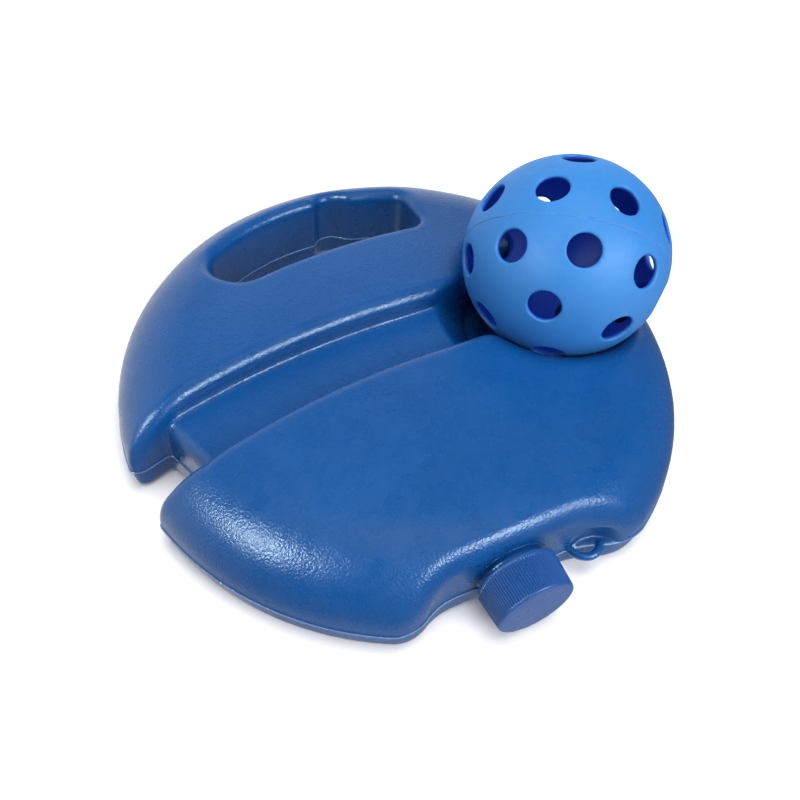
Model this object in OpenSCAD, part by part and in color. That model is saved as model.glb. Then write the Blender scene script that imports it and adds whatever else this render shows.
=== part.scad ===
// Fillable base of a solo ball-rebound trainer with a perforated plastic ball in its seat.
// Millimetres, +Z up. Origin: the middle of the round base, on the surface it stands on.
// The cord channel runs along X, the filler neck points along -Y and the carry slot is on +Y.

/* [Base tank] */
// Radius of the round base just above its parting line
base_r = 103; // [100:0.5:106]
// Height of the base at the middle of its crowned top
base_h = 36.6; // [36:0.2:38]
// How far the crowned top falls from the middle to the shoulder
crown = 0.6; // [0.4:0.1:1]
// Width of the rounded shoulder
shoulder_w = 28; // [24:1:30]
// Height of the rounded shoulder
shoulder_h = 24; // [20:1:25]
// Height of the moulding's parting line
seam_z = 10; // [9:0.5:11]
// How far the parting line's ridge stands proud
seam_proud = 0.5; // [0.3:0.1:0.8]
// Wall thickness of the blow-moulded tank
wall = 2.4; // [2:0.2:3]

/* [Cord channel] */
// Width of the channel between its walls
channel_w = 25; // [22:1:28]
// Height of the channel's floor
floor_z = 27; // [25:1:29]
// Radius on which the channel's middle line bends
bend_r = 300; // [280:5:340]
// Place where the straight part of the channel ends and the bend begins
bend_x = 5; // [0:1:10]
// Place where the far wall of the through notch meets its end wall
notch_far_x = -88; // [-89:0.5:-87]
// Place where the near wall of the through notch meets its end wall
notch_near_x = -79; // [-81:0.5:-78]

/* [Ball seat] */
// Distance of the seat's axis from the middle of the base
seat_x = 66; // [64:0.5:67]
// Sideways place of the seat's axis
seat_y = -2.4; // [-3:0.2:-1]
// Radius of the seat's straight wall
seat_r = 31.5; // [30:0.5:32]
// Height of the edge that the ball rests on, where the seat starts to flare
flare_z = 30.1; // [29.5:0.1:30.5]
// Radius at which the channel's floor starts to fall into the seat
apron_r = 45.5; // [44:0.5:46]
// Thickness of the web that closes the bottom of the seat
web_t = 2.6; // [2:0.2:3]

/* [Carry slot] */
// Radius of the slot's outer wall about the middle of the base
slot_far_r = 83; // [81:0.5:84]
// Radius of the slot's inner wall about its own centre
slot_near_r = 240; // [239:0.5:241]
// Radius of the slot's round left end
slot_left_r = 12.2; // [11:0.1:12.5]
// Right end of the slot
slot_right_x = 37.5; // [36:0.5:39]
// Radius of the finger notch in the slot's outer wall
notch_r = 5.5; // [5:0.5:6]

/* [Front flat and eyelet] */
// Distance of the flat front wall from the middle of the base
front_y = 88.5; // [87.5:0.5:89]
// Left end of the flat front wall
front_left_x = -28; // [-30:1:-26]
// Right end of the flat front wall
front_right_x = 22; // [20:1:24]
// Sideways place of the cord eyelet
eyelet_x = 25.6; // [25:0.1:27]
// Radius on which the eyelet's loop bends round its hole
eyelet_r = 5.6; // [5.5:0.1:6.2]
// Thickness of the eyelet's loop
eyelet_t = 2.8; // [2.4:0.1:3]
// Radius to which the niche over the eyelet is dished
dish_r = 11.8; // [11:0.1:12.5]

/* [Filler neck and cap] */
// Sideways place of the neck's axis
neck_x = -3; // [-4:0.5:-2]
// Height of the neck's axis
neck_z = 15.2; // [15:0.2:17]
// Radius of the neck at the root of its thread
neck_r = 10.9; // [10.7:0.1:11.1]
// Radius of the filling bore
neck_bore_r = 9.2; // [8.8:0.1:9.4]
// Radius of the cap at its open end
cap_r = 14.3; // [14:0.1:14.8]
// How much smaller the cap's radius is at its closed end
cap_taper = 0.7; // [0.3:0.1:0.8]
// Height of the cap along the neck
cap_h = 12.2; // [11.8:0.1:13]
// Radius of the cap's bore
cap_bore_r = 12.3; // [12.2:0.05:12.4]
// Number of grip ribs round the cap
cap_ribs = 90; // [60:1:96]
// Thickness of the cap's end wall
cap_end_t = 1.5; // [1.2:0.1:1.8]
// Thickness of the sealing liner
liner_t = 1; // [0.8:0.1:1.2]

/* [Ball] */
// Radius of the perforated ball
ball_r = 37; // [36.5:0.1:37.5]
// Wall thickness of the ball
ball_t = 2; // [1.8:0.1:2.4]
// Diameter of the ball's holes
hole_d = 11.4; // [10.5:0.1:12]
// Height of the weld ridge inside the seam
weld_h = 0.8; // [0.5:0.1:1]

/* [Hidden] */
$fn = 96;

TANK_BLUE = "#2b67b0";
CAP_BLUE = "#2a5fa6";
LINER_WHITE = "#dfe3e6";
BALL_BLUE = "#3f86d6";

// Heights and gaps that the parts share
past = 5;
gap = 0.15;
foot_r = 3;
top_z = base_h + past;
ridge_half = 0.5;
shoulder_steps = 10;
crown_steps = 4;
shoulder_r = base_r - shoulder_w;
shoulder_z = base_h - crown - shoulder_h;
front_face_y = -(base_r + seam_proud);

// Carry slot: centre of the inner wall's arc, and of the round left end that touches both arcs
slot_near_c = [12, -188];
slot_corner_r = 6;
slot_bulge = 0.1;
notch_mid_x = 7;
notch_in = 1.8;

function dot(a, b) = a[0] * b[0] + a[1] * b[1];
function unit(a) = a / norm(a);
// Centre, on the left, of a circle inside the arc fr about the origin and outside the arc nr about c
function tangent_centre(fr, nr, c, r) = let(
        k = (dot(c, c) + pow(fr - r, 2) - pow(nr + r, 2)) / 2,
        cc = dot(c, c),
        foot = [c[0] * k / cc, c[1] * k / cc],
        h = sqrt(pow(fr - r, 2) - dot(foot, foot)),
        side = [c[1], -c[0]] / sqrt(cc))
    foot + h * side;
slot_left_c = tangent_centre(slot_far_r, slot_near_r, slot_near_c, slot_left_r);

// Ball seat: the ball touches the edge where the straight wall turns into the 45 degree flare
ball_z = flare_z + sqrt(ball_r * ball_r - seat_r * seat_r) + gap;
flare_run = 8;
seat_draft = 0.5;
apron_fall = 13;
apron_widen = 3;

// Ball: direction of the front half's pole, and its rings of holes as [angle from pole, count, turn]
pole_tilt = 119.1;
pole_turn = -127.5;
RINGS = [[0, 1, 0], [41.2, 5, 50.3], [73.7, 9, 15.5]];
flip_turn = 46.6;
bevel = 0.6;

// Front wall: how far its ends run sideways and outwards to meet the outline
left_run = 13;
left_out = 7;
right_run = 22;
right_out = 7.5;

// Eyelet: centre of its loop, just behind the front wall, and the centre of the niche over it
eyelet_y = 0.6 - front_y;
dish_c = [eyelet_x, -front_y - 10.4, seam_z + 2.7];

// Cap and neck
neck_end_y = front_face_y + cap_end_t + liner_t + 2 * gap;
cap_open_y = front_face_y + cap_h;
rib_r = 0.35;
neck_root_y = -(front_y - wall - 1);
neck_chamfer = 0.6;

// Outline of the tank's half section, shrunk by g on every side
function tank_section(g) = concat(
    [[0, g], [base_r - foot_r - 1 - g, g]],
    [for (i = [1:3]) let(a = -90 + 30 * i)
        [base_r - foot_r - 1 + (foot_r - g) * cos(a), foot_r + (foot_r - g) * sin(a)]],
    g > 0 ? [[base_r - g, seam_z]]
        : [[base_r - 0.3, seam_z - ridge_half], [base_r + seam_proud, seam_z - ridge_half / 3],
            [base_r + seam_proud, seam_z + ridge_half / 3], [base_r, seam_z + ridge_half]],
    [for (i = [0:shoulder_steps]) let(a = 90 * i / shoulder_steps)
        [shoulder_r + (shoulder_w - g) * cos(a), shoulder_z + (shoulder_h - g) * sin(a)]],
    [for (i = [1:crown_steps]) let(t = 1 - i / crown_steps)
        [shoulder_r * t, base_h - g - crown * t * t]]);

module tank_body(g) {
    rotate_extrude($fn = 180) polygon(tank_section(g));
}

// Notch: its far and near walls, its rounded inner corners and the angle at which the channel's bend stops
notch_far_y = -2.5;
notch_near_y = -25.3;
notch_far_fall = 3.5;
notch_corner_r = 3;
notch_corner_steps = 4;
bend_deg = 17.5;

// Channel with its bend, cut down to the floor; g widens it for the tank's inner wall
module channel_cut(g) {
    half = channel_w / 2 + g;
    translate([bend_x, -half, floor_z - g]) cube([seat_x - bend_x, 2 * half, top_z]);
    translate([bend_x, -bend_r, floor_z - g]) rotate([0, 0, 90])
        rotate_extrude(angle = bend_deg, $fn = 360) translate([bend_r - half, 0]) square([2 * half, top_z]);
}

// Points that round the corner at b, between a and c, to about radius r
function corner(a, b, c, r) = let(u = unit(a - b), v = unit(c - b))
    [for (i = [0:notch_corner_steps]) let(t = i / notch_corner_steps)
        b + r * (pow(1 - t, 2) * u + pow(t, 2) * v)];
// Open end of the channel, cut right through, with a flat end wall
module notch_cut(g) {
    out_x = -base_r - 2 * past;
    far_out = [out_x, notch_far_y - notch_far_fall + g];
    far_in = [notch_far_x + g, notch_far_y + g];
    near_in = [notch_near_x + g, notch_near_y - g];
    near_out = [out_x, notch_near_y - g];
    translate([0, 0, -past]) linear_extrude(height = top_z + past)
        polygon(concat([far_out], corner(far_out, far_in, near_in, notch_corner_r),
            corner(far_in, near_in, near_out, notch_corner_r), [near_out]));
}

// Pocket for the ball down to its web, with its flared edge
function seat_section(g) = let(edge_z = flare_z - g * tan(22.5))
    [[0, seam_z + web_t / 2 - g], [seat_r - seat_draft + g, seam_z + web_t / 2 - g], [seat_r + g, edge_z],
    [seat_r + g + flare_run, edge_z + flare_run], [seat_r + g + flare_run, top_z], [0, top_z]];
// Floor that falls from the channel's end into the seat
function apron_section(g) = [[0, floor_z - apron_fall - g], [seat_r + g, floor_z - apron_fall - g],
    [apron_r + g, floor_z - g], [apron_r + g, top_z], [0, top_z]];
module seat_cut(g) {
    half = channel_w / 2 + g;
    translate([seat_x, seat_y, 0]) {
        rotate_extrude($fn = 120) polygon(seat_section(g));
        translate([0, 0, -past]) cylinder(r = seat_r + g, h = seam_z - web_t / 2 + g + past);
        intersection() {
            rotate_extrude($fn = 120) polygon(apron_section(g));
            translate([-apron_r - past, -half - seat_y, 0])
                cube([apron_r + past, 2 * half + apron_widen, top_z + past]);
        }
    }
}

// Outline of the slot: a bent lens between two arcs, with its ends rounded by circles that touch both
module slot_plan(g) {
    corner_x = slot_right_x - slot_corner_r;
    near_reach = slot_near_r + slot_corner_r;
    low_c = [corner_x, slot_near_c[1] + sqrt(pow(near_reach, 2) - pow(corner_x - slot_near_c[0], 2))];
    high_c = [corner_x, sqrt(pow(slot_far_r - slot_corner_r, 2) - corner_x * corner_x)];
    reach = 2 * slot_left_r;
    difference() {
        intersection() {
            circle(r = slot_far_r + g, $fn = 360);
            polygon([slot_left_c, slot_left_c + reach * unit(slot_left_c), high_c + reach * unit(high_c),
                high_c, low_c, low_c + reach * unit(slot_near_c - low_c),
                slot_left_c + reach * unit(slot_near_c - slot_left_c)]);
        }
        translate(slot_near_c) circle(r = slot_near_r - g, $fn = 720);
    }
    translate(slot_left_c) circle(r = slot_left_r + slot_bulge + g);
    translate(high_c) circle(r = slot_corner_r + slot_bulge + g);
    translate(low_c) circle(r = slot_corner_r + slot_bulge + g);
    translate([corner_x - 1, low_c[1]]) square([slot_corner_r + 1 + g, high_c[1] - low_c[1]]);
    translate([notch_mid_x, slot_far_r - notch_in]) circle(r = notch_r + g);
}
module slot_cut(g) {
    translate([0, 0, -past]) linear_extrude(height = top_z + past) slot_plan(g);
}

// Flat front wall, whose ends run out to the round outline, and the dished niche over the eyelet
module front_plan(g) {
    far = base_r + past;
    polygon([[front_left_x - g, -front_y + g], [front_right_x + g, -front_y + g],
        [front_right_x + right_run + g, -front_y - right_out + g], [front_right_x + right_run + g, -far],
        [front_left_x - left_run - g, -far], [front_left_x - left_run - g, -front_y - left_out + g]]);
}
module front_cut(g) {
    translate([0, 0, -past]) linear_extrude(height = top_z + past) front_plan(g);
    intersection() {
        translate(dish_c) sphere(r = dish_r + g);
        translate([eyelet_x - base_r, -base_r, seam_z + ridge_half - g]) cube([2 * base_r, base_r, top_z]);
    }
}

// One blow-moulded hollow piece: body, lobes, handle and ballast space
module base_tank() {
    color(TANK_BLUE) difference() {
        tank_body(0);
        channel_cut(0);
        notch_cut(0);
        seat_cut(0);
        slot_cut(0);
        front_cut(0);
        ballast_space();
        translate([neck_x, neck_root_y, neck_z]) rotate([90, 0, 0]) cylinder(r = neck_r, h = 2 * past);
    }
}
module ballast_space() {
    rim_x = seat_x + seat_r - past;
    difference() {
        tank_body(wall);
        channel_cut(wall);
        notch_cut(wall);
        seat_cut(wall);
        slot_cut(wall);
        front_cut(wall);
        translate([rim_x, seat_y - seat_r, 0]) cube([base_r, 2 * seat_r, top_z]);
    }
}

// Moulded loop for the cord's end, in line with the parting line; its hole is left between it and the wall
module cord_eyelet() {
    half = eyelet_t / 2;
    edge = half * tan(22.5);
    section = [[-half, -edge], [-edge, -half], [edge, -half], [half, -edge],
        [half, edge], [edge, half], [-edge, half], [-half, edge]];
    color(TANK_BLUE) intersection() {
        translate([eyelet_x, eyelet_y, seam_z]) rotate_extrude() translate([eyelet_r, 0]) polygon(section);
        linear_extrude(height = 2 * seam_z) front_plan(0);
    }
}

// Filler neck: a straight tube whose mouth has a chamfered edge
module filler_neck() {
    len = neck_root_y - neck_end_y;
    color(TANK_BLUE) translate([neck_x, neck_root_y, neck_z]) rotate([90, 0, 0]) difference() {
        union() {
            cylinder(r = neck_r, h = len - neck_chamfer);
            translate([0, 0, len - neck_chamfer])
                cylinder(r1 = neck_r, r2 = neck_r - neck_chamfer, h = neck_chamfer);
        }
        translate([0, 0, -past]) cylinder(r = neck_bore_r, h = len + 2 * past);
    }
}

module screw_cap() {
    edge = 0.6;
    wall_r = cap_r - rib_r;
    color(CAP_BLUE) translate([neck_x, cap_open_y, neck_z]) rotate([90, 0, 0]) difference() {
        union() {
            rotate_extrude() polygon([[0, 0], [wall_r, 0], [wall_r - cap_taper, cap_h - edge],
                [wall_r - cap_taper - edge, cap_h], [0, cap_h]]);
            for (i = [0:cap_ribs - 1]) rotate([0, 0, 360 * i / cap_ribs])
                translate([wall_r - cap_taper, 0, 1]) cylinder(r = rib_r, h = cap_h - edge - 1.4);
        }
        translate([0, 0, -past]) cylinder(r = cap_bore_r, h = cap_h - cap_end_t + past);
    }
}

module cap_liner() {
    color(LINER_WHITE) translate([neck_x, front_face_y + cap_end_t + gap / 2 + liner_t, neck_z])
        rotate([90, 0, 0]) cylinder(r = cap_bore_r - 0.2, h = liner_t);
}

// Half of the ball about its own pole, with the seam in its XY plane
module ball_half() {
    inner_r = ball_r - ball_t;
    difference() {
        union() {
            difference() {
                sphere(r = ball_r);
                sphere(r = inner_r);
            }
            rotate_extrude() translate([inner_r - weld_h, -weld_h])
                square([weld_h + ball_t / 2, 2 * weld_h]);
        }
        translate([-ball_r - 1, -ball_r - 1, -2 * ball_r])
            cube([2 * ball_r + 2, 2 * ball_r + 2, 2 * ball_r]);
        for (ring = RINGS) for (i = [0:ring[1] - 1])
            rotate([0, 0, ring[2] + 360 * i / ring[1]]) rotate([0, ring[0], 0]) {
                translate([0, 0, inner_r / 2]) cylinder(d = hole_d, h = ball_r);
                translate([0, 0, ball_r - bevel - 0.45])
                    cylinder(d1 = hole_d, d2 = hole_d + 4 * bevel, h = 2 * bevel);
            }
    }
}
module ball_place() {
    translate([seat_x, seat_y, ball_z]) rotate([0, 0, pole_turn]) rotate([0, pole_tilt, 0]) children();
}
module ball_front_half() {
    color(BALL_BLUE) ball_place() ball_half();
}
module ball_back_half() {
    color(BALL_BLUE) ball_place() rotate([0, 0, flip_turn]) rotate([180, 0, 0]) rotate([0, 0, -flip_turn])
        ball_half();
}

base_tank();
cord_eyelet();
filler_neck();
screw_cap();
cap_liner();
ball_front_half();
ball_back_half();
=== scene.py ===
"""Looks for a fillable rebound-trainer base: a blow-moulded tank, its screw cap and a perforated ball.

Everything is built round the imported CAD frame. The shapes are worked out in millimetres and turned into metres when
a mesh is made. The tank, the ball and the eyelet are distance fields, meshed by surface nets and then settled on the
field; the neck, the cap and the liner are turned grids with real threads and grip ribs.
"""

import math

import bmesh
import bpy
import numpy as np
from mathutils import Matrix, Vector


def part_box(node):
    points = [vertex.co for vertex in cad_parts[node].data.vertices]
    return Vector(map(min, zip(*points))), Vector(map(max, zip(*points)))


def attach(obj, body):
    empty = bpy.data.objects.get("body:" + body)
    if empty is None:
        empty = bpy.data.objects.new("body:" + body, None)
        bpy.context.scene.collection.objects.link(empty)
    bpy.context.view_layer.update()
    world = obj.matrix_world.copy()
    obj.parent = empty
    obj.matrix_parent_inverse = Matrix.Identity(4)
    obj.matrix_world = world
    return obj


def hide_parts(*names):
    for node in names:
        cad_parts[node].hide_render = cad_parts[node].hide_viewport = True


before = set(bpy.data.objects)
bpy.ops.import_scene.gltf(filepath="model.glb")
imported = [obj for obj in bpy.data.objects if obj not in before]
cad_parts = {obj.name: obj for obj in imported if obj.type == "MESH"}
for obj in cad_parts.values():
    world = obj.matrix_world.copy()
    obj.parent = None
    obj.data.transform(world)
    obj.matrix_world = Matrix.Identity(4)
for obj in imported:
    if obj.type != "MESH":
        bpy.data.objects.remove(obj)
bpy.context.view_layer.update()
MM = 0.001


def node_box(name):
    """Lowest and highest corner of a CAD node, in millimetres."""
    low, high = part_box(name)
    return np.array(low) / MM, np.array(high) / MM


# ---------------------------------------------------------------- sizes, in millimetres
TANK_HIGH = node_box("base_tank")[1]
SEAM_PROUD, SEAM_SPREAD = 0.5, 0.30
BASE_R = TANK_HIGH[0] - SEAM_PROUD
TOP_Z = 36.6
CROWN = 0.6
SHOULDER_W, SHOULDER_H = 28.0, 24.0
FOOT_R = 3.0
SEAM_Z = 10.0
WALL = 2.4

CHANNEL_HALF = 12.5
FLOOR_Z = 27.0
BEND_R = 300.0
BEND_X = 5.0
NOTCH_FAR_X, NOTCH_NEAR_X, NOTCH_NEAR_Y = -88.0, -79.0, -25.3
NOTCH_WALL_XS = (-130, -122, -114, -107, -101, -96, -92, NOTCH_FAR_X)

BALL_LOW = np.minimum(node_box("ball_front_half")[0], node_box("ball_back_half")[0])
BALL_HIGH = np.maximum(node_box("ball_front_half")[1], node_box("ball_back_half")[1])
BALL_R = 37.0
BALL_C = (BALL_LOW + BALL_HIGH) / 2
BALL_T = 2.0
SEAT_R = 31.5
FLARE_Z = 30.1
APRON_R = 45.5
APRON_SLOPE = math.radians(47)
WEB_T = 2.6

SLOT_FAR_R = 83.0
SLOT_NEAR_R, SLOT_NEAR_C = 240.0, (12.0, -188.0)
SLOT_LEFT_R, SLOT_RIGHT_X, SLOT_CORNER_R = 12.2, 37.5, 6.0
FINGER_X, FINGER_R, FINGER_IN = 7.0, 5.5, 1.8

NECK_LOW, NECK_HIGH = node_box("filler_neck")
CAP_LOW, CAP_HIGH = node_box("screw_cap")
LINER_LOW, LINER_HIGH = node_box("cap_liner")
NECK_X = (NECK_LOW[0] + NECK_HIGH[0]) / 2
NECK_Z = (NECK_LOW[2] + NECK_HIGH[2]) / 2
NECK_R = (NECK_HIGH[0] - NECK_LOW[0]) / 2
NECK_BORE_R = 9.2
THREAD_PITCH = 3.175
FRONT_Y = 88.5
FRONT_LEFT_X, FRONT_LEFT_END, FRONT_LEFT_OUT = -28, -41, 7
FRONT_RIGHT_X, FRONT_RIGHT_END, FRONT_RIGHT_OUT = 22, 44, 7.5
FRONT_FAR_X, FRONT_FAR_Y = 80, -130

EYELET_LOW, EYELET_HIGH = node_box("cord_eyelet")
EYELET = np.array([25.6, 0.6 - FRONT_Y, SEAM_Z])
EYELET_R, EYELET_T = 5.6, 2.8
DISH = np.array([25.6, -FRONT_Y - 10.4, SEAM_Z + 2.7])
DISH_R = 11.8

# Radii to which the tank's edges and inner corners are rolled
FLOOR_END_ROLL, FLOOR_FILLET = 6.0, 0.9
CHANNEL_ROLL, CHANNEL_TIP_EXTRA = 4.8, 1.2
FUNNEL_SIDE_ROLL, FUNNEL_ROLL = 2.5, 1.0
FLARE_ROLL, SEAT_FLOOR_FILLET, SEAT_ROLL, RECESS_ROLL = 1.6, 1.5, 3.0, 1.5
FINGER_FILLET, FINGER_RIGHT_EXTRA = 1.5, 5.0
SLOT_ROLL, SLOT_RIM_EXTRA = 3.3, 2.4
FRONT_ROLL = 5.0
DISH_FLOOR_ROLL, DISH_ROLL = 0.8, 1.2


# ---------------------------------------------------------------- distance fields
def round_max(a, b, k):
    """Distance to the part inside both a and b, with the edge between them rolled to radius k."""
    return np.minimum(-k, np.maximum(a, b)) + np.hypot(np.maximum(a + k, 0), np.maximum(b + k, 0))


def round_min(a, b, k):
    """Distance to the part inside a or b, with the corner between them filled to radius k."""
    return -round_max(-a, -b, k)


def smooth_step(x, low, high):
    t = np.clip((x - low) / (high - low), 0, 1)
    return t * t * (3 - 2 * t)


def outline_distance(points, px, py):
    """Signed distance from (px, py) to a closed outline, negative inside."""
    best = np.full(px.shape, 1e9)
    inside = np.zeros(px.shape, bool)
    for (ax, ay), (bx, by) in zip(points, np.roll(points, -1, 0)):
        ex, ey = bx - ax, by - ay
        if ex == 0 and ey == 0:
            continue
        wx, wy = px - ax, py - ay
        t = np.clip((wx * ex + wy * ey) / (ex * ex + ey * ey), 0, 1)
        best = np.minimum(best, (wx - t * ex) ** 2 + (wy - t * ey) ** 2)
        if ay != by:
            inside ^= ((ay > py) != (by > py)) & (px < ax + (py - ay) * ex / ey)
    return np.where(inside, -1, 1) * np.sqrt(best)


class Table:
    """A signed distance to an outline, worked out once on a fine grid and read by bicubic interpolation."""

    def __init__(self, points, low, high, step):
        self.low, self.step = np.array(low, float), step
        self.n = np.ceil((np.array(high) - self.low) / step).astype(int) + 1
        gx, gy = (self.low[i] + step * np.arange(self.n[i]) for i in (0, 1))
        self.values = outline_distance(np.asarray(points, float), *np.meshgrid(gx, gy, indexing="ij"))

    def __call__(self, x, y):
        x, y = np.broadcast_arrays(x, y)
        fx = np.clip((x - self.low[0]) / self.step, 1, self.n[0] - 2.001)
        fy = np.clip((y - self.low[1]) / self.step, 1, self.n[1] - 2.001)
        ix, iy = fx.astype(int), fy.astype(int)
        wx, wy = (self.weights(f - i) for f, i in ((fx, ix), (fy, iy)))
        total = 0
        for i in range(4):
            for j in range(4):
                total = total + wx[i] * wy[j] * self.values[ix + i - 1, iy + j - 1]
        return total

    @staticmethod
    def weights(t):
        return (
            ((2 - t) * t - 1) * t / 2,
            (t * t * (3 * t - 5) + 2) / 2,
            ((4 - 3 * t) * t + 1) * t / 2,
            (t - 1) * t * t / 2,
        )


def arc(centre, radius, start, end, count):
    a = np.linspace(start, end, count)
    return np.c_[centre[0] + radius * np.cos(a), centre[1] + radius * np.sin(a)]


def heading(a, b):
    return math.atan2(b[1] - a[1], b[0] - a[0])


def slot_outline():
    """The carry slot in plan: a bent lens whose left end and right corners are rounded by touching circles."""
    near_c = np.array(SLOT_NEAR_C)
    k = (near_c @ near_c + (SLOT_FAR_R - SLOT_LEFT_R) ** 2 - (SLOT_NEAR_R + SLOT_LEFT_R) ** 2) / 2
    foot = near_c * k / (near_c @ near_c)
    side = np.array([near_c[1], -near_c[0]]) / np.linalg.norm(near_c)
    left = foot + side * math.sqrt((SLOT_FAR_R - SLOT_LEFT_R) ** 2 - foot @ foot)
    corner_x = SLOT_RIGHT_X - SLOT_CORNER_R
    low = np.array([corner_x, near_c[1] + math.sqrt((SLOT_NEAR_R + SLOT_CORNER_R) ** 2 - (corner_x - near_c[0]) ** 2)])
    high = np.array([corner_x, math.sqrt((SLOT_FAR_R - SLOT_CORNER_R) ** 2 - corner_x**2)])
    origin = np.zeros(2)
    turn = 2 * math.pi
    return np.vstack(
        [
            arc(near_c, SLOT_NEAR_R, heading(near_c, left), heading(near_c, low), 40)[1:-1],
            arc(low, SLOT_CORNER_R, heading(low, near_c), 0, 12),
            arc(high, SLOT_CORNER_R, 0, heading(origin, high), 12),
            arc(origin, SLOT_FAR_R, heading(origin, high), heading(origin, left), 60)[1:-1],
            arc(left, SLOT_LEFT_R, heading(origin, left), heading(left, near_c) % turn, 24),
        ]
    )


def body_profile():
    """Half section of the tank as (radius, height), without its underside: it runs straight down past the floor."""
    a = np.linspace(0, math.pi / 2, 40)
    shoulder = np.c_[
        BASE_R - SHOULDER_W + SHOULDER_W * np.cos(a), TOP_Z - CROWN - SHOULDER_H + SHOULDER_H * np.sin(a)
    ]
    t = np.linspace(1, 0, 30)[1:]
    crown = np.c_[(BASE_R - SHOULDER_W) * t, TOP_Z - CROWN * t * t]
    side = np.vstack([[[BASE_R - 1.5, -12], [BASE_R - 1, 3], [BASE_R, SEAM_Z]], shoulder, crown])
    for _ in range(6):
        side[44:-1] = (side[43:-2] + 2 * side[44:-1] + side[45:]) / 4
    return np.vstack([side, side[::-1] * [-1, 1]])


def rounded(points, radii):
    """Outline whose corners are bent to about the given radii."""
    out = []
    for a, b, c, r in zip(np.roll(points, 1, 0), np.array(points, float), np.roll(points, -1, 0), radii):
        u, v = (a - b) / np.linalg.norm(a - b), (c - b) / np.linalg.norm(c - b)
        t = np.linspace(0, 1, 9)[:, None] if r else np.zeros((1, 1))
        out.append(b + r * (u * (1 - t) ** 2 + v * t**2))
    return np.vstack(out)


def bend_wall(side, xs):
    """Points of the bent channel's far (+1) or near (-1) wall."""
    r = BEND_R + side * CHANNEL_HALF
    return [(x, math.sqrt(r * r - (x - BEND_X) ** 2) - BEND_R) for x in xs]


BODY = Table(body_profile(), (-8, -11), (118, 56), 0.5)
SLOT = Table(slot_outline(), (-80, 20), (60, 104), 0.5)
NOTCH = Table(
    rounded(
        bend_wall(1, NOTCH_WALL_XS) + [(NOTCH_NEAR_X, NOTCH_NEAR_Y), (NOTCH_WALL_XS[0], NOTCH_NEAR_Y)],
        [0] * 7 + [2.0, 3.0, 0],
    ),
    (-112, -60),
    (-40, 30),
    0.4,
)
FRONT = Table(
    rounded(
        [
            (FRONT_LEFT_X, -FRONT_Y),
            (FRONT_RIGHT_X, -FRONT_Y),
            (FRONT_RIGHT_END, -FRONT_Y - FRONT_RIGHT_OUT),
            (FRONT_FAR_X, FRONT_FAR_Y),
            (-FRONT_FAR_X, FRONT_FAR_Y),
            (FRONT_LEFT_END, -FRONT_Y - FRONT_LEFT_OUT),
        ],
        [6, 6, 0, 0, 0, 0],
    ),
    (-90, -125),
    (80, -70),
    0.5,
)


def channel_wall(x, y):
    """Distance outside the channel's band, in plan.

    The band stops at the seat's middle and at a slanted line through (-91, -2) and (-80, -25.5), inside the notch.
    """
    bent = np.abs(np.hypot(x - BEND_X, y + BEND_R) - BEND_R)
    band = np.where(x > BEND_X, np.abs(y), bent) - CHANNEL_HALF
    past_notch = (-(x + 91) * 23.5 - (y + 2) * 11) / 25.95  # divided by the line's length
    return np.maximum(np.maximum(band, x - BALL_C[0]), past_notch)


def seat_cuts(x, y, z):
    """Distances outside the ball's pocket, the funnel at the channel's end and the recess under the seat."""
    off = np.hypot(x - BALL_C[0], y - BALL_C[1])
    flare = (off - SEAT_R - (z - FLARE_Z)) * math.sqrt(0.5)
    wall = -round_max(SEAT_R - off, -flare, FLARE_ROLL)
    pocket = round_max(wall, SEAM_Z + WEB_T / 2 - z, SEAT_FLOOR_FILLET)
    recess = round_max(off - SEAT_R, z - SEAM_Z + WEB_T / 2, RECESS_ROLL)
    cone = (off - APRON_R) * math.sin(APRON_SLOPE) - (z - FLOOR_Z) * math.cos(APRON_SLOPE)
    # The funnel's far side widens a little towards the seat.
    side = np.maximum(y - CHANNEL_HALF - 0.25 * np.maximum(x - 22, 0), -CHANNEL_HALF - y)
    funnel = np.maximum(np.maximum(round_max(cone, side, FUNNEL_SIDE_ROLL), off - APRON_R), x - BALL_C[0])
    funnel = np.maximum(funnel, SEAM_Z + WEB_T / 2 - z)
    return pocket, funnel, recess


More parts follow.
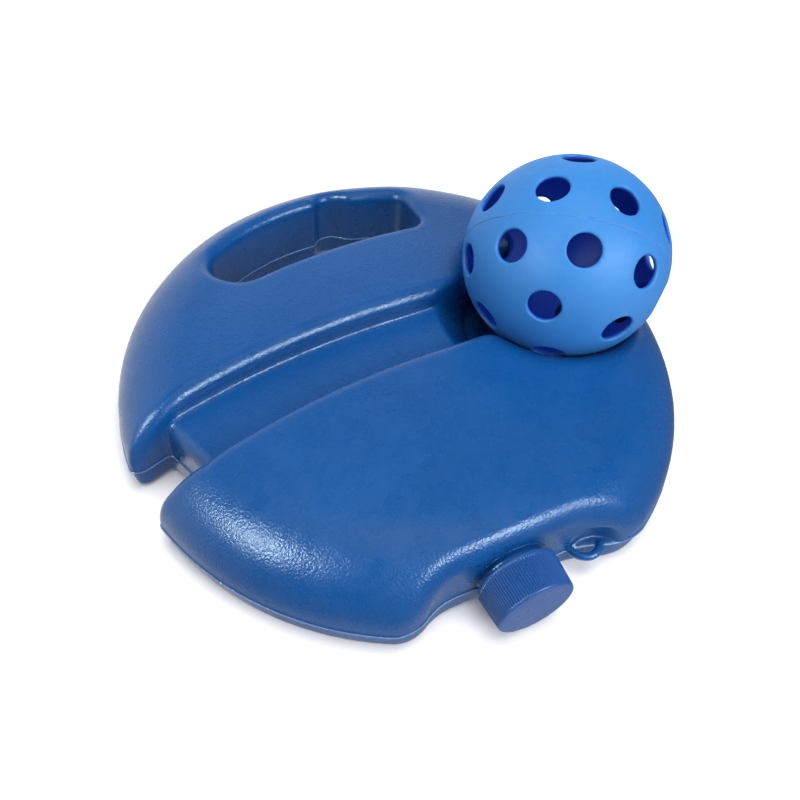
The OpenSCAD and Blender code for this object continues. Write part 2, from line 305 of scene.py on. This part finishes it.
def tank_solid(x, y, z):
    """Distance to the tank's outside, without its parting line."""
    rho = np.hypot(x, y)
    # Slight sinks and swells, up to 0.17 mm, as a blow moulding has where it cools unevenly.
    sink = 0.10 * np.sin(x / 13.1 + 1.3) * np.sin(y / 10.7 + 0.4) + 0.07 * np.sin(x / 6.9 - y / 8.3 + 2.1)
    body = BODY(rho, z) + sink * smooth_step(z, 14, 26)
    band, notch = channel_wall(x, y), NOTCH(x, y)
    floor = round_max(z - FLOOR_Z, -notch, FLOOR_END_ROLL)
    carved = round_min(floor, -np.minimum(band, notch), FLOOR_FILLET * smooth_step(notch, 0.5, 4))
    tip = smooth_step(rho, 80, 99)
    part = round_max(body, carved, CHANNEL_ROLL + CHANNEL_TIP_EXTRA * tip)
    pocket, funnel, recess = seat_cuts(x, y, z)
    part = round_max(part, -funnel, FUNNEL_ROLL)
    part = round_max(part, -pocket, SEAT_ROLL)
    part = round_max(part, -recess, RECESS_ROLL)
    finger = np.hypot(x - FINGER_X, y - (SLOT_FAR_R - FINGER_IN)) - FINGER_R
    finger_fillet = FINGER_FILLET + FINGER_RIGHT_EXTRA * smooth_step(x, FINGER_X - 3, FINGER_X + 3)
    slot = round_min(SLOT(x, y), finger, finger_fillet)
    part = round_max(part, -slot, SLOT_ROLL + SLOT_RIM_EXTRA * smooth_step(rho, 68, 82))
    part = round_max(part, -FRONT(x, y), FRONT_ROLL)
    dish = np.sqrt((x - DISH[0]) ** 2 + (y - DISH[1]) ** 2 + (z - DISH[2]) ** 2) - DISH_R
    part = round_max(part, -round_max(dish, SEAM_Z + 0.6 - z, DISH_FLOOR_ROLL), DISH_ROLL)
    return round_max(part, -z, FOOT_R)


def tank_outside(x, y, z):
    """Distance to the tank's outside with the raised parting line."""
    return tank_solid(x, y, z) - SEAM_PROUD * np.exp(-(((z - SEAM_Z) / SEAM_SPREAD) ** 2))


def tank_inside(x, y, z):
    """Distance to the ballast space, negative in it."""
    return tank_solid(x, y, z) + WALL


# ---------------------------------------------------------------- meshing
CORNERS = np.array([(i, j, k) for i in (0, 1) for j in (0, 1) for k in (0, 1)])
CELL_EDGES = [
    (a, b) for a in range(8) for b in range(a + 1, 8) if abs(CORNERS[a] - CORNERS[b]).sum() == 1
]


def surface_net(field, xs, ys, zs):
    """Vertices and quads of the surface where field is 0, facing away from where it is negative."""
    slabs = np.array_split(zs, 8)
    d = np.concatenate([field(xs[:, None, None], ys[None, :, None], z[None, None, :]) for z in slabs], 2)
    neg = d < 0
    n = np.array(d.shape)
    inside = sum(neg[i : n[0] - 1 + i, j : n[1] - 1 + j, k : n[2] - 1 + k].astype(np.int8) for i, j, k in CORNERS)
    cells = np.argwhere((inside > 0) & (inside < 8))
    number = np.full(n - 1, -1)
    number[tuple(cells.T)] = np.arange(len(cells))
    corner = cells[:, None, :] + CORNERS
    value = d[corner[..., 0], corner[..., 1], corner[..., 2]]
    place = np.stack([xs[corner[..., 0]], ys[corner[..., 1]], zs[corner[..., 2]]], -1)
    total, count = np.zeros((len(cells), 3)), np.zeros(len(cells))
    for a, b in CELL_EDGES:
        va, vb = value[:, a], value[:, b]
        cut = (va < 0) != (vb < 0)
        t = np.where(cut, va / np.where(cut, va - vb, 1), 0)
        total += np.where(cut[:, None], place[:, a] + t[:, None] * (place[:, b] - place[:, a]), 0)
        count += cut
    quads = []
    for axis in range(3):
        u, v = (axis + 1) % 3, (axis + 2) % 3
        low = [slice(None)] * 3
        high = [slice(None)] * 3
        low[axis], high[axis] = slice(0, -1), slice(1, None)
        first, second = neg[tuple(low)], neg[tuple(high)]
        at = np.argwhere(first != second)
        at = at[(at[:, u] > 0) & (at[:, v] > 0) & (at[:, u] < n[u] - 1) & (at[:, v] < n[v] - 1)]
        ring = []
        for du, dv in ((1, 1), (0, 1), (0, 0), (1, 0)):
            q = at.copy()
            q[:, u] -= du
            q[:, v] -= dv
            ring.append(number[tuple(q.T)])
        ring = np.stack(ring, 1)
        flip = second[tuple(at.T)]
        ring[flip] = ring[flip][:, ::-1]
        quads.append(ring)
    return total / count[:, None], np.concatenate(quads)


def settle(field, p, rounds=3, reach=0.6):
    """Moves points onto the surface where field is 0."""
    h = 0.02
    for _ in range(rounds):
        d = field(*p.T)
        slope = np.stack([field(*(p + h * e).T) - field(*(p - h * e).T) for e in np.eye(3)], 1) / (2 * h)
        step = d[:, None] * slope / np.maximum((slope**2).sum(1), 0.3)[:, None]
        p = p - np.clip(step, -reach, reach)
    return p


def relax(p, quads, held, rounds=2):
    """Evens out the spacing of a quad mesh's points; held points stay."""
    a = np.concatenate([quads[:, i] for i in range(4)])
    b = np.concatenate([quads[:, (i + 1) % 4] for i in range(4)])
    degree = np.bincount(a, minlength=len(p))
    for _ in range(rounds):
        mean = np.stack([np.bincount(a, p[b, i], len(p)) for i in range(3)], 1) / np.maximum(degree, 1)[:, None]
        p = np.where(held[:, None], p, p + 0.5 * (mean - p))
    return p


def net_mesh(field, xs, ys, zs, held=None, rounds=3):
    """A settled and evenly spaced quad mesh of a field."""
    p, quads = surface_net(field, xs, ys, zs)
    p = settle(field, p)
    still = held(p) if held else np.zeros(len(p), bool)
    for _ in range(rounds):
        p = settle(field, relax(p, quads, still, 1), 1)
    return settle(field, p, 2), quads


def make_mesh(name, points, faces):
    """A Blender mesh from points in millimetres and a list of equal-sided faces, shaded smooth."""
    mesh = bpy.data.meshes.new(name)
    faces = np.asarray(faces)
    sides = faces.shape[1]
    mesh.vertices.add(len(points))
    mesh.vertices.foreach_set("co", (np.asarray(points) * MM).astype(np.float32).ravel())
    mesh.loops.add(faces.size)
    mesh.loops.foreach_set("vertex_index", faces.astype(np.int32).ravel())
    mesh.polygons.add(len(faces))
    mesh.polygons.foreach_set("loop_start", np.arange(0, faces.size, sides, dtype=np.int32))
    mesh.update(calc_edges=True)
    mesh.validate()
    mesh.shade_smooth()
    return mesh


def add_piece(name, mesh, body, material, replaces):
    """Puts a mesh in the scene as a piece of the object."""
    piece = bpy.data.objects.new(name, mesh)
    bpy.context.scene.collection.objects.link(piece)
    mesh.materials.append(material)
    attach(piece, body)
    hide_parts(replaces)
    return piece


def steps(low, high, step):
    return np.linspace(low, high, int(math.ceil((high - low) / step)) + 1)


# ---------------------------------------------------------------- camera
PHOTO_AZIMUTH = math.radians(-24.5)
PHOTO_PITCH = math.radians(48.5)
PHOTO_ROLL = math.radians(1.1)
CAMERA_PLACE = (-100.8, -174.1, 243.5)
SENSOR = 36
LENS_SHIFT = (57 / 800, -37 / 800)


def make_camera():
    data = bpy.data.cameras.new("camera")
    data.sensor_width = data.lens = SENSOR
    data.shift_x, data.shift_y = LENS_SHIFT
    data.clip_start, data.clip_end = 0.01, 20
    camera = bpy.data.objects.new("camera", data)
    bpy.context.scene.collection.objects.link(camera)
    look = Vector(
        (
            -math.sin(PHOTO_AZIMUTH) * math.cos(PHOTO_PITCH),
            math.cos(PHOTO_AZIMUTH) * math.cos(PHOTO_PITCH),
            -math.sin(PHOTO_PITCH),
        )
    )
    turned = look.to_track_quat("-Z", "Y").to_matrix().to_4x4() @ Matrix.Rotation(PHOTO_ROLL, 4, "Z")
    camera.matrix_world = Matrix.Translation(Vector(CAMERA_PLACE) * MM) @ turned
    bpy.context.scene.camera = camera


make_camera()


# ---------------------------------------------------------------- materials
class Nodes:
    """A short way to write a material's nodes."""

    def __init__(self, name):
        self.material = bpy.data.materials.new(name)
        self.material.use_nodes = True
        self.tree = self.material.node_tree
        self.shader = self.tree.nodes["Principled BSDF"]
        self.place = self.add("ShaderNodeTexCoord").outputs["Object"]

    def add(self, kind, **settings):
        node = self.tree.nodes.new(kind)
        for key, value in settings.items():
            if key in node.inputs:
                node.inputs[key].default_value = value
            else:
                setattr(node, key, value)
        return node

    def link(self, source, target):
        self.tree.links.new(source, target)

    def noise(self, size_mm, detail=2.0, roughness=0.5):
        node = self.add("ShaderNodeTexNoise", Scale=1 / (size_mm * MM), Detail=detail, Roughness=roughness)
        self.link(self.place, node.inputs["Vector"])
        return node.outputs["Fac"]

    def cells(self, size_mm):
        node = self.add("ShaderNodeTexVoronoi", Scale=1 / (size_mm * MM))
        self.link(self.place, node.inputs["Vector"])
        return node.outputs["Distance"]

    def ramp(self, source, stops):
        node = self.add("ShaderNodeValToRGB")
        marks = node.color_ramp.elements
        while len(marks) < len(stops):
            marks.new(0.5)
        for mark, (at, colour) in zip(marks, stops):
            mark.position = at
            mark.color = colour
        self.link(source, node.inputs["Fac"])
        return node.outputs["Color"]

    def remap(self, source, low, high, to_low, to_high):
        node = self.add("ShaderNodeMapRange")
        for key, value in zip(("From Min", "From Max", "To Min", "To Max"), (low, high, to_low, to_high)):
            node.inputs[key].default_value = value
        self.link(source, node.inputs["Value"])
        return node.outputs["Result"]

    def maths(self, operation, a, b):
        node = self.add("ShaderNodeMath", operation=operation)
        for socket, value in zip(node.inputs, (a, b)):
            if isinstance(value, (int, float)):
                socket.default_value = value
            else:
                self.link(value, socket)
        return node.outputs["Value"]

    def mix(self, factor, a, b):
        node = self.add("ShaderNodeMix", data_type="RGBA")
        self.link(factor, node.inputs["Factor"])
        for socket, value in zip((node.inputs[6], node.inputs[7]), (a, b)):
            if isinstance(value, tuple):
                socket.default_value = value
            else:
                self.link(value, socket)
        return node.outputs[2]

    def bump(self, height, depth_mm, strength=1.0, under=None):
        node = self.add("ShaderNodeBump", Strength=strength, Distance=depth_mm * MM)
        self.link(height, node.inputs["Height"])
        if under is not None:
            self.link(under, node.inputs["Normal"])
        return node.outputs["Normal"]


def srgb(r, g, b):
    """Linear colour from 0 to 255 display values."""
    shares = (r / 255, g / 255, b / 255)
    return tuple(c / 12.92 if c <= 0.04045 else ((c + 0.055) / 1.055) ** 2.4 for c in shares) + (1,)


GLOSS_TINT = (0.80, 0.98, 1.0, 1.0)


def moulded_plastic(
    name, low, high, roughness, grain_mm, grain_depth, ripple_depth, seam=None, painted_inside_shade=None, specular=0.5
):
    """Coloured plastic with a fine moulded grain, faint colour drift and uneven gloss.

    seam is the colour along a parting line, with the line's normal, its height along it, its half width and its
    strength. The colour given for the ball's inside is painted shade: a darker, more saturated blue standing in for
    the dimmer light that reaches the inside through the shell.
    """
    n = Nodes(name)
    drift = n.maths("ADD", n.maths("MULTIPLY", n.noise(34, 2), 0.6), n.maths("MULTIPLY", n.noise(2.3, 3), 0.4))
    colour = n.ramp(drift, [(0.36, low), (0.64, high)])
    rub = n.remap(n.noise(9, 4, 0.6), 0.35, 0.7, roughness[0], roughness[1])
    if seam is not None:
        tint, normal, height, half, strength = seam
        along = n.add("ShaderNodeVectorMath", operation="DOT_PRODUCT")
        n.link(n.place, along.inputs[0])
        along.inputs[1].default_value = normal
        off = n.maths("ABSOLUTE", n.maths("SUBTRACT", along.outputs["Value"], height * MM), 0.0)
        colour = n.mix(n.remap(off, half * MM / 3, half * MM, strength, 0.0), colour, tint)
    # Painted shade: the ball's inside is mixed towards a darker, more saturated blue, for the dimmer light that comes
    # through the shell.
    if painted_inside_shade is not None:
        middle = n.add("ShaderNodeVectorMath", operation="DISTANCE")
        n.link(n.place, middle.inputs[0])
        middle.inputs[1].default_value = Vector(BALL_C) * MM
        inside = n.remap(middle.outputs["Value"], (BALL_R - 1.2) * MM, (BALL_R - 0.5) * MM, 1.0, 0.0)
        colour = n.mix(inside, colour, painted_inside_shade)
    n.link(colour, n.shader.inputs["Base Color"])
    n.link(rub, n.shader.inputs["Roughness"])
    n.shader.inputs["Specular IOR Level"].default_value = specular
    n.shader.inputs["Specular Tint"].default_value = GLOSS_TINT
    ripple = n.bump(n.noise(6.5, 2), ripple_depth)
    pebble = n.maths("ADD", n.cells(grain_mm), n.maths("MULTIPLY", n.noise(grain_mm * 0.6, 2), 0.8))
    n.link(n.bump(pebble, grain_depth, 1.0, ripple), n.shader.inputs["Normal"])
    return n.material


TANK_BLUE = moulded_plastic(
    "tank_blue",
    low=srgb(5, 66, 127),
    high=srgb(9, 72, 135),
    roughness=(0.24, 0.34),
    grain_mm=0.8,
    grain_depth=0.075,
    ripple_depth=0.02,
    seam=(srgb(165, 195, 230), (0, 0, 1), SEAM_Z, 0.36, 0.45),
)
CAP_BLUE = moulded_plastic(
    "cap_blue",
    low=srgb(18, 66, 132),
    high=srgb(23, 73, 140),
    roughness=(0.26, 0.36),
    grain_mm=0.8,
    grain_depth=0.01,
    ripple_depth=0.01,
)
POLE_TILT, POLE_TURN, FLIP_TURN = math.radians(119.1), math.radians(-127.5), math.radians(46.6)
POLE = np.array(
    [math.sin(POLE_TILT) * math.cos(POLE_TURN), math.sin(POLE_TILT) * math.sin(POLE_TURN), math.cos(POLE_TILT)]
)
BALL_BLUE = moulded_plastic(
    "ball_blue",
    low=srgb(40, 112, 183),
    high=srgb(46, 120, 191),
    roughness=(0.48, 0.58),
    grain_mm=0.9,
    grain_depth=0.008,
    ripple_depth=0.02,
    seam=(srgb(130, 180, 235), POLE, BALL_C @ POLE, 0.22, 0.5),
    # Painted shade on the ball's inside: a darker, more saturated blue than the outside.
    painted_inside_shade=srgb(9, 66, 190),
    specular=0.35,
)
LINER_WHITE = moulded_plastic(
    "liner_white",
    low=srgb(216, 220, 222),
    high=srgb(228, 230, 231),
    roughness=(0.6, 0.8),
    grain_mm=0.35,
    grain_depth=0.02,
    ripple_depth=0.01,
    specular=0.3,
)


# ---------------------------------------------------------------- tank
NET_STEP = 1.28
INNER_STEP, INNER_RISE = 3.0, 2.4


def tank_heights():
    """Heights of the tank's grid, close together round the parting line."""
    bands = [steps(-NET_STEP, 8.7, 1.25), steps(8.9, 11.1, 0.2), steps(11.4, TOP_Z + 1.6, NET_STEP)]
    return np.unique(np.round(np.concatenate(bands), 4))


def open_neck(bm, y, radius):
    """Cuts a round hole for the neck in the flat front wall at y and returns its rim's edges."""
    centre = Vector((NECK_X, y, NECK_Z)) * MM
    reach = radius * MM

    def within(v, radius, depth):
        return math.hypot(v.co.x - centre.x, v.co.z - centre.z) < radius and abs(v.co.y - centre.y) < depth

    near = [v for v in bm.verts if within(v, reach, 1.0 * MM)]
    bmesh.ops.delete(bm, geom=near, context="VERTS")
    rim = [e for e in bm.edges if e.is_boundary and all(within(v, 2 * reach, 1.5 * MM) for v in e.verts)]
    for v in {v for e in rim for v in e.verts}:
        out = Vector((v.co.x - centre.x, 0, v.co.z - centre.z)).normalized()
        v.co = Vector((centre.x, v.co.y, centre.z)) + out * reach
    return rim


def make_tank():
    """The hollow tank: a fine outer skin and a coarser inner skin, joined through the neck's bore."""
    xs = steps(-BASE_R - 2, BASE_R + 2, NET_STEP)
    outer, outer_quads = net_mesh(tank_outside, xs, xs, tank_heights(), lambda p: np.abs(p[:, 2] - SEAM_Z) < 1.8, 2)
    xs = steps(-BASE_R - 2, BASE_R + 2, INNER_STEP)
    inner, inner_quads = net_mesh(tank_inside, xs, xs, steps(-1, TOP_Z + 1, INNER_RISE))
    points = np.concatenate([outer, inner])
    quads = np.concatenate([outer_quads, inner_quads[:, ::-1] + len(outer)])
    mesh = make_mesh("tank", points, quads)
    bm = bmesh.new()
    bm.from_mesh(mesh)
    outer_rim = open_neck(bm, -FRONT_Y, NECK_BORE_R)
    inner_rim = open_neck(bm, -FRONT_Y + WALL, NECK_BORE_R)
    bmesh.ops.bridge_loops(bm, edges=outer_rim + inner_rim)
    bm.normal_update()
    bm.to_mesh(mesh)
    bm.free()
    mesh.shade_smooth()
    return add_piece("tank_shell", mesh, "base", TANK_BLUE, "base_tank")


make_tank()


# ---------------------------------------------------------------- ball
HOLE_R, HOLE_ROLL = 5.7, 0.55
WELD_H, WELD_HALF_W = 0.8, 1.0
BALL_STEP, BALL_SEAM_STEP = 0.62, 0.3
RINGS = [(0, 1, 0), (41.2, 5, 50.3), (73.7, 9, 15.5)]


def hole_directions():
    """Directions of one half's holes, in that half's frame."""
    out = []
    for tilt, count, turn in RINGS:
        for i in range(count):
            t, a = math.radians(tilt), math.radians(turn + 360 * i / count)
            out.append((math.sin(t) * math.cos(a), math.sin(t) * math.sin(a), math.cos(t)))
    return np.array(out)


HOLES = hole_directions()


def ball_half(x, y, z):
    """Distance to half of the ball, with its pole along +Z and its rim at z = 0."""
    rho = np.sqrt(x * x + y * y + z * z)
    middle = BALL_R - BALL_T / 2
    shell = np.abs(rho - middle) - BALL_T / 2
    weld = np.maximum(np.abs(np.hypot(x, y) - (BALL_R - BALL_T)) - WELD_HALF_W, np.abs(z) - WELD_H)
    shell = round_min(shell, weld, 0.4) - 0.08 * np.exp(-((z / 0.35) ** 2))
    part = round_max(shell, 0.004 - z, 0.03)
    for hx, hy, hz in HOLES:
        along = x * hx + y * hy + z * hz
        off = np.sqrt(np.maximum(rho * rho - along * along, 0))
        bore = np.where(along > 0, HOLE_R - off, -20)
        part = round_max(part, bore, HOLE_ROLL)
    return part


def make_ball():
    xs = steps(-BALL_R - 1, BALL_R + 1, BALL_STEP)
    zs = np.concatenate([steps(-0.6, 1.8, BALL_SEAM_STEP), steps(2.3, BALL_R + 1, BALL_STEP)])
    points, quads = net_mesh(ball_half, xs, xs, zs, lambda p: p[:, 2] < 1.2, 2)
    place = Matrix.Translation(Vector(BALL_C) * MM)
    place = place @ Matrix.Rotation(POLE_TURN, 4, "Z") @ Matrix.Rotation(POLE_TILT, 4, "Y")
    flip = (
        Matrix.Rotation(FLIP_TURN, 4, "Z") @ Matrix.Rotation(math.pi, 4, "X") @ Matrix.Rotation(-FLIP_TURN, 4, "Z")
    )
    for name, node, turn in (
        ("ball_front_shell", "ball_front_half", Matrix.Identity(4)),
        ("ball_back_shell", "ball_back_half", flip),
    ):
        mesh = make_mesh(name, points, quads)
        mesh.transform(place @ turn)
        add_piece(name, mesh, "ball", BALL_BLUE, node)


make_ball()


# ---------------------------------------------------------------- turned parts: neck, cap, liner
def turned(name, rows, count, relief=None):
    """A mesh turned about -Y through the neck's axis.

    rows are (radius, distance out along -Y from the front wall). relief(angle, radius, out) gives radii.
    """
    angle = np.linspace(0, 2 * math.pi, count, endpoint=False)
    rows = np.asarray(rows, float)
    radius = np.repeat(rows[:, :1], count, 1)
    out = np.repeat(rows[:, 1:], count, 1)
    if relief is not None:
        radius = relief(angle[None, :], radius, out)
    x = NECK_X + radius * np.cos(angle)
    z = NECK_Z + radius * np.sin(angle)
    points = np.stack([x, -FRONT_Y - out, z], -1).reshape(-1, 3)
    i, j = np.meshgrid(np.arange(len(rows) - 1), np.arange(count), indexing="ij")
    k = (j + 1) % count
    here, above = i * count, (i + 1) * count
    quads = np.stack([here + j, here + k, above + k, above + j], -1).reshape(-1, 4)
    mesh = make_mesh(name, points, quads)
    bm = bmesh.new()
    bm.from_mesh(mesh)
    bmesh.ops.remove_doubles(bm, verts=bm.verts, dist=1e-6)
    loops = [e for e in bm.edges if e.is_boundary]
    if loops:
        bmesh.ops.bridge_loops(bm, edges=loops)
    bmesh.ops.recalc_face_normals(bm, faces=bm.faces)
    bm.to_mesh(mesh)
    bm.free()
    mesh.shade_smooth()
    return mesh


def thread(angle, out, start, end, phase):
    """Height from 0 to 1 of a right-hand thread at a place, fading in and out at its ends."""
    turns = (out - start) / THREAD_PITCH - angle / (2 * math.pi) - phase
    off = np.abs(turns - np.round(turns)) * THREAD_PITCH
    ridge = 1 - smooth_step(off, 0.28, 0.80)
    along = start + (np.round(turns) + phase + angle / (2 * math.pi)) * THREAD_PITCH
    return ridge * smooth_step(along, start, start + 0.7) * (1 - smooth_step(along, end - 0.7, end))


def bend_rows(points, radii, count=5):
    """Profile points with each inner corner rounded to its radius."""
    out = [points[0]]
    for a, b, c, r in zip(points[:-2], points[1:-1], points[2:], radii):
        a, b, c = (np.array(p, float) for p in (a, b, c))
        if r == 0:
            out.append(tuple(b))
            continue
        u, v = (a - b) / np.linalg.norm(a - b), (c - b) / np.linalg.norm(c - b)
        for t in np.linspace(0, 1, count):
            out.append(tuple(b + r * (u * (1 - t) ** 2 + v * t**2)))
    out.append(points[-1])
    return out


def dense(rows, step):
    """Profile with extra rows, so that no two are further apart than step, or than FLAT_STEP across a flat end."""
    out = [rows[0]]
    for a, b in zip(rows, rows[1:]):
        n = max(1, int(math.ceil(math.dist(a, b) / (FLAT_STEP if a[1] == b[1] else step))))
        out += [tuple(np.array(a) + (np.array(b) - np.array(a)) * (i + 1) / n) for i in range(n)]
    return out


FOOT_IN = -0.3
NECK_THREAD_H, CAP_THREAD_H = 1.0, 0.95
CAP_OPEN, CAP_FACE = -CAP_HIGH[1] - FRONT_Y, -CAP_LOW[1] - FRONT_Y
CAP_R = (CAP_HIGH[0] - CAP_LOW[0]) / 2
CAP_BORE_R, CAP_TAPER, CAP_END_T = 12.3, 0.7, 1.5
CAP_RIBS, RIB_DEPTH, COLUMNS_PER_RIB = 96, 0.45, 8
FLAT_STEP = 3.0


def make_neck():
    """The neck's outside with its thread, from the foot on the wall to the mouth, and its bore."""
    mouth = -NECK_LOW[1] - FRONT_Y
    foot_r = NECK_R + 1.6
    profile = bend_rows(
        [
            (NECK_BORE_R, FOOT_IN),
            (foot_r, FOOT_IN),
            (foot_r, 0.0),
            (NECK_R, 0.9),
            (NECK_R, mouth),
            (NECK_BORE_R, mouth),
            (NECK_BORE_R, FOOT_IN),
        ],
        (0, 0, 0.8, 0.5, 0.5),
    )

    def relief(angle, radius, out):
        outer = radius > NECK_R - 0.05
        return radius + np.where(outer & (out > 1), NECK_THREAD_H * thread(angle, out, 2.4, mouth - 1.4, 0.0), 0)

    mesh = turned("neck", dense(profile[2:], 0.3), 180, relief)
    add_piece("threaded_neck", mesh, "base", TANK_BLUE, "filler_neck")


def make_cap():
    """The cap: grip ribs that fade out before both ends, a rounded end face and the thread in its bore."""
    end = CAP_FACE
    face_r = CAP_R - CAP_TAPER
    profile = bend_rows(
        [
            (0, end),
            (face_r - 0.2, end),
            (CAP_R - 0.05, CAP_OPEN),
            (CAP_BORE_R, CAP_OPEN),
            (CAP_BORE_R, end - CAP_END_T),
            (0, end - CAP_END_T),
        ],
        (0.9, 0.4, 0.4, 0.3),
        6,
    )
    rows = dense(profile, 0.35)

    def relief(angle, radius, out):
        side = (radius > CAP_BORE_R + 0.4) & (out < end - 0.4)
        fade = smooth_step(out, CAP_OPEN + 0.9, CAP_OPEN + 1.5) * (1 - smooth_step(out, end - 1.25, end - 0.55))
        rib = np.abs(((angle * CAP_RIBS / (2 * math.pi)) % 1) - 0.5) * 2
        groove = RIB_DEPTH * smooth_step(rib, 0.2, 0.9)
        inner = (np.abs(radius - CAP_BORE_R) < 0.05) & (out < end - 1.8)
        ridge = CAP_THREAD_H * thread(angle, out, CAP_OPEN + 1.2, end - 4.2, 0.5)
        return radius - np.where(side, groove * fade, 0) - np.where(inner, ridge, 0)

    mesh = turned("cap", rows, CAP_RIBS * COLUMNS_PER_RIB, relief)
    add_piece("ribbed_cap", mesh, "cap", CAP_BLUE, "screw_cap")


def make_liner():
    """The sealing disc, with the shallow ring that the neck's mouth has pressed into it."""
    low, high = -LINER_HIGH[1] - FRONT_Y, -LINER_LOW[1] - FRONT_Y
    r = (LINER_HIGH[0] - LINER_LOW[0]) / 2
    rows = bend_rows(
        [
            (0, low + 0.25),
            (8.6, low + 0.25),
            (9.4, low + 0.05),
            (10.4, low + 0.05),
            (11.0, low),
            (r, low),
            (r, high),
            (0, high),
        ],
        (0.3, 0.3, 0.3, 0.2, 0.25, 0.25),
        4,
    )
    mesh = turned("liner", dense(rows, 0.8), 120)
    add_piece("sealing_liner", mesh, "liner", LINER_WHITE, "cap_liner")


make_neck()
make_cap()
make_liner()


# ---------------------------------------------------------------- eyelet
def eyelet_loop(x, y, z):
    """Distance to the cord's loop, whose two feet run a little way into the wall."""
    dx, dy, dz = x - EYELET[0], y - EYELET[1], z - EYELET[2]
    loop = np.hypot(np.hypot(dx, dy) - EYELET_R, dz) - EYELET_T / 2
    return round_max(loop, FRONT(x, y) - 1.2, 0.5)


def make_eyelet():
    xs, ys, zs = (steps(EYELET_LOW[i] - 1, EYELET_HIGH[i] + 2, 0.26) for i in range(3))
    points, quads = net_mesh(eyelet_loop, xs, ys, zs)
    add_piece("cord_loop", make_mesh("cord_loop", points, quads), "base", TANK_BLUE, "cord_eyelet")


make_eyelet()


# ---------------------------------------------------------------- studio
def area_light(name, place, size, power, glossy=True, diffuse=True):
    """A softbox aimed at the object's middle; glossy and diffuse say which kind of shine it gives."""
    data = bpy.data.lights.new(name, "AREA")
    data.shape = "RECTANGLE"
    data.size, data.size_y = size
    data.energy = power
    light = bpy.data.objects.new(name, data)
    bpy.context.scene.collection.objects.link(light)
    light.visible_glossy, light.visible_diffuse = glossy, diffuse
    light.location = place
    light.rotation_euler = (-Vector(place)).to_track_quat("-Z", "Y").to_euler()


def light_sky(world):
    """A white backdrop behind the object, brightest near the horizon, a little light from below, and dim overhead."""
    tree = world.node_tree

    def fade(source, start, end, at_start, at_end):
        node = tree.nodes.new("ShaderNodeMapRange")
        node.interpolation_type = "SMOOTHSTEP"
        for key, value in zip(("From Min", "From Max", "To Min", "To Max"), (start, end, at_start, at_end)):
            node.inputs[key].default_value = value
        tree.links.new(source, node.inputs["Value"])
        return node.outputs["Result"]

    def maths(operation, first, second):
        node = tree.nodes.new("ShaderNodeMath")
        node.operation = operation
        tree.links.new(first, node.inputs[0])
        tree.links.new(second, node.inputs[1])
        return node.outputs["Value"]

    place = tree.nodes.new("ShaderNodeTexCoord")
    split = tree.nodes.new("ShaderNodeSeparateXYZ")
    behind = tree.nodes.new("ShaderNodeVectorMath")
    behind.operation = "DOT_PRODUCT"
    behind.inputs[1].default_value = (-0.35, 0.94, 0.0)
    tree.links.new(place.outputs["Generated"], split.inputs["Vector"])
    tree.links.new(place.outputs["Generated"], behind.inputs[0])
    up = split.outputs["Z"]
    low = fade(up, 0.5, 0.85, 1.1, 0.15)
    backdrop = fade(behind.outputs["Value"], -0.1, 0.6, 0.12, 1.0)
    bounce = fade(up, -0.8, -0.4, 0.45, 0.0)
    background = tree.nodes["Background"]
    background.inputs["Color"].default_value = (1, 1, 1, 1)
    tree.links.new(maths("MULTIPLY", low, maths("MAXIMUM", backdrop, bounce)), background.inputs["Strength"])


def make_studio():
    scene = bpy.context.scene
    scene.view_settings.view_transform = "Standard"
    world = bpy.data.worlds.new("studio")
    scene.world = world
    world.use_nodes = True
    light_sky(world)
    # Two large soft sources give the even light, and two smaller ones the highlights on the rolled edges.
    area_light("overhead", (0.05, -0.05, 1.2), (0.9, 0.9), 16.0, glossy=False)
    area_light("front_fill", (0.25, -1.2, 0.75), (1.2, 0.8), 16.0, glossy=False)
    area_light("front", (0.36, -0.85, 0.60), (0.50, 0.30), 11.0, diffuse=False)
    area_light("left", (-0.95, -0.30, 0.70), (0.22, 0.34), 12.0, diffuse=False)
    floor = bpy.data.meshes.new("floor")
    reach = 4.0  # metres
    floor.from_pydata(
        [(-reach, -reach, 0), (reach, -reach, 0), (reach, reach, 0), (-reach, reach, 0)], [], [(0, 1, 2, 3)]
    )
    n = Nodes("pale_floor")
    tone = n.ramp(n.noise(60, 2), [(0.3, (0.86, 0.86, 0.87, 1)), (0.7, (0.88, 0.88, 0.88, 1))])
    n.link(tone, n.shader.inputs["Base Color"])
    n.shader.inputs["Roughness"].default_value = 0.6
    n.shader.inputs["Specular IOR Level"].default_value = 0.2
    # The floor glows a little away from the object, so that it stays white to its edges.
    away = n.add("ShaderNodeVectorMath", operation="LENGTH")
    n.link(n.place, away.inputs[0])
    n.shader.inputs["Emission Color"].default_value = (1, 1, 1, 1)
    n.link(n.remap(away.outputs["Value"], 0.15, 0.5, 0.05, 0.6), n.shader.inputs["Emission Strength"])
    floor.materials.append(n.material)
    ground = bpy.data.objects.new("floor", floor)
    scene.collection.objects.link(ground)
    ground.visible_glossy = False


make_studio()
